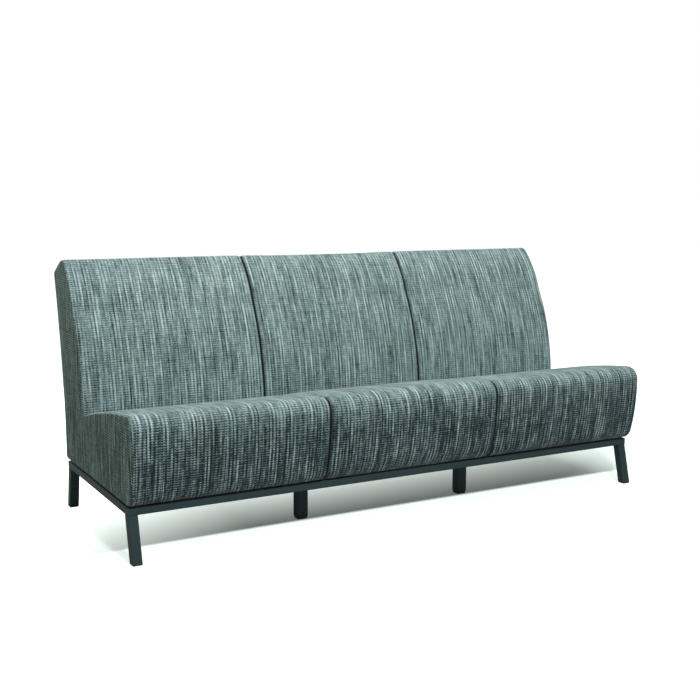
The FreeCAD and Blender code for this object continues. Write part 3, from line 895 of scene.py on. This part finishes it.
def foam_cells(name):
    s = Shader(name)
    cells = s.node("ShaderNodeTexVoronoi", Vector=object_place(s), Scale=450.0).outputs[0]
    base = s.ramp(cells, [(0.0, tone(150, 140, 104)), (0.6, tone(226, 218, 184))])
    return s.surface(base, 0.95, s.bump(cells, 0.0006, 0.6))


weave_tones = [
    (0.05, tone(22, 36, 38)),
    (0.28, tone(67, 86, 87)),
    (0.50, tone(111, 132, 131)),
    (0.72, tone(144, 165, 163)),
    (0.95, tone(187, 207, 204)),
]
end_tones = [
    (0.10, tone(43, 63, 56)),
    (0.50, tone(101, 131, 121)),
    (0.90, tone(155, 183, 172)),
]
upholstery = fabric("slub_weave", 0.98, weave_tones)
# The seat cloth carries painted shade down its front, and the ends' cloth carries painted shade towards the
# bottom.
seat_fabric_painted_shade = fabric("slub_weave_seat", 1.0, weave_tones, (0.54, 0.71), 0.28)
end_fabric_painted_shade = fabric("slub_weave_ends_painted_shade", 1.6, end_tones, (0.72, 0.30), 0.29)
steel = powder_coat("powder_coat", tone(38, 54, 56))
finishes = {
    "powder_coated_steel": steel,
    "dark_plastic": moulded_plastic("moulded_plastic", tone(30, 33, 35)),
    "plywood": plywood("plywood_grain"),
    "webbing": webbing("elastic_webbing"),
    "foam": foam_cells("foam_cells"),
    "woven_fabric": upholstery,
    "zinc_steel": zinc("zinc_plate"),
    "rubber_spacer": rubber("black_rubber"),
    "lining_cloth": lining("lining"),
}


def finish_nodes():
    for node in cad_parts.values():
        for place in node.material_slots:
            key = place.material.name.split(".")[0]
            place.material = finishes[key]


def dress(piece, material, slot, *nodes):
    piece.data.materials.append(material)
    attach(piece, "sofa")
    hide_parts(*nodes)


def make_soft_pieces():
    kinds = ((seat_cushion, "_seat_", seat_fabric_painted_shade), (back_cushion, "_back_", upholstery))
    for index, side in enumerate(("left", "centre", "right")):
        for make, part, cloth in kinds:
            piece = make(index, side)
            dress(piece, cloth, "woven_fabric", side + part + "foam", side + part + "cover")
    for side, x_side, seed in (("left", -1, 13.0), ("right", 1, 17.0)):
        piece = end_upholstery(side + "_end_upholstery", x_side, seed)
        dress(piece, end_fabric_painted_shade, "woven_fabric", side + "_end_padding", side + "_end_cover")
    piece, length = outside_back()
    dress(piece, upholstery, "woven_fabric", "outside_back_cover")
    piece, length = under_cloth()
    dress(piece, finishes["lining_cloth"], "lining_cloth", "dust_cover")


# Floor, light and camera

def floor_white_and_painted_light(s, x, y):
    """How far the floor glows: fully white far out, and near the sofa painted light before, behind and left
    of the shadow.
    """
    across = s.math("POWER", s.math("DIVIDE", x, 2.1), 2.0)
    back = s.math("POWER", s.math("DIVIDE", s.math("SUBTRACT", y, 0.3), 1.7), 2.0)
    away = s.math("SQRT", s.math("ADD", across, back))
    far = s.math("MULTIPLY_ADD", away, 1.6, -0.75, clamp=True)
    # Painted light: front lifts the floor just before the shadow's front edge, behind lifts it under the
    # sofa towards the rear and more to the left, and left lifts it on the left.
    front = s.math("MULTIPLY_ADD", y, -36.0, -7.45, clamp=True)
    rear_fade = s.math("MULTIPLY_ADD", y, 2.4, 0.54, clamp=True)
    painted_light_behind = s.times(rear_fade, s.math("MULTIPLY_ADD", x, -0.24, 0.64))
    left = s.math("MULTIPLY_ADD", x, -0.85, -0.44, clamp=True)
    painted_light_near = s.math("MAXIMUM", s.times(front, 0.74), s.math("ADD", painted_light_behind, left))
    return s.math("MULTIPLY_ADD", s.math("MAXIMUM", far, painted_light_near), 0.9, floor_glow)


def floor():
    """Pale floor that keeps the shadow near the sofa, lightened round it by painted light, and turns plain
    white further out.
    """
    reach = floor_reach
    corners = [(-reach, -reach, 0), (reach, -reach, 0), (reach, reach, 0), (-reach, reach, 0)]
    piece = mesh_object("floor", corners, [(0, 1, 2, 3)])
    s = Shader("pale_floor")
    x, y, _ = s.parts(object_place(s))
    seen = s.tree.nodes.new("ShaderNodeLightPath").outputs["Is Camera Ray"]
    colour = s.mix(seen, (0.42, 0.43, 0.43, 1.0), (0.64, 0.75, 0.695, 1.0))
    diffuse = s.node("ShaderNodeBsdfDiffuse", Color=colour)
    glow = s.node("ShaderNodeEmission", Color=(0.92, 1.0, 0.96, 1.0))
    s.put(glow.inputs["Strength"], s.times(seen, floor_white_and_painted_light(s, x, y)))
    both = s.tree.nodes.new("ShaderNodeAddShader")
    s.put(both.inputs[0], diffuse.outputs[0])
    s.put(both.inputs[1], glow.outputs[0])
    s.put(s.output.inputs[0], both.outputs[0])
    piece.data.materials.append(s.material)


def sky(fill):
    """White to the camera, and a low even light on everything else, reflections included."""
    world = bpy.data.worlds.new("studio")
    bpy.context.scene.world = world
    world.use_nodes = True
    tree = world.node_tree
    tree.nodes.clear()
    paths = tree.nodes.new("ShaderNodeLightPath")
    strength = tree.nodes.new("ShaderNodeMapRange")
    strength.inputs["To Min"].default_value = fill
    strength.inputs["To Max"].default_value = 1.0
    tree.links.new(paths.outputs["Is Camera Ray"], strength.inputs["Value"])
    background = tree.nodes.new("ShaderNodeBackground")
    background.inputs["Color"].default_value = (1.0, 1.0, 1.0, 1.0)
    tree.links.new(strength.outputs[0], background.inputs["Strength"])
    out = tree.nodes.new("ShaderNodeOutputWorld")
    tree.links.new(background.outputs[0], out.inputs[0])


def lamp(name, place, target, width, height, power):
    data = bpy.data.lights.new(name, "AREA")
    data.shape = "RECTANGLE"
    data.size = width
    data.size_y = height
    data.energy = power
    made = bpy.data.objects.new(name, data)
    made.location = place
    made.rotation_euler = (Vector(target) - Vector(place)).to_track_quat("-Z", "Y").to_euler()
    made.visible_camera = False
    bpy.context.scene.collection.objects.link(made)


def camera():
    data = bpy.data.cameras.new("camera")
    data.sensor_width = 36.0
    data.lens = focal_length
    data.clip_end = 60.0
    made = bpy.data.objects.new("camera", data)
    yaw, pitch, roll = camera_turn
    level = math.cos(pitch)
    forward = Vector((math.sin(yaw) * level, math.cos(yaw) * level, -math.sin(pitch)))
    right = Vector((math.cos(yaw), -math.sin(yaw), 0.0))
    up = right.cross(forward)
    across = math.cos(roll) * right + math.sin(roll) * up
    above = math.cos(roll) * up - math.sin(roll) * right
    axes = Matrix((across, above, -forward)).transposed()
    made.matrix_world = Matrix.Translation(camera_place) @ axes.to_4x4()
    bpy.context.scene.collection.objects.link(made)
    bpy.context.scene.camera = made


finish_nodes()
make_soft_pieces()
floor()
sky(0.31)
lamp("overhead", (0.1, 0.1, 3.4), (0.0, 0.0, 0.3), 3.0, 1.2, 85.0)
lamp("key", (-0.8, -3.5, 3.5), (0.0, 0.0, 0.4), 0.35, 0.35, 116.0)
lamp("backdrop", (0.0, 2.3, 0.9), (0.0, 0.2, 0.0), 2.4, 1.6, 45.0)
camera()
bpy.context.scene.view_settings.view_transform = "Standard"
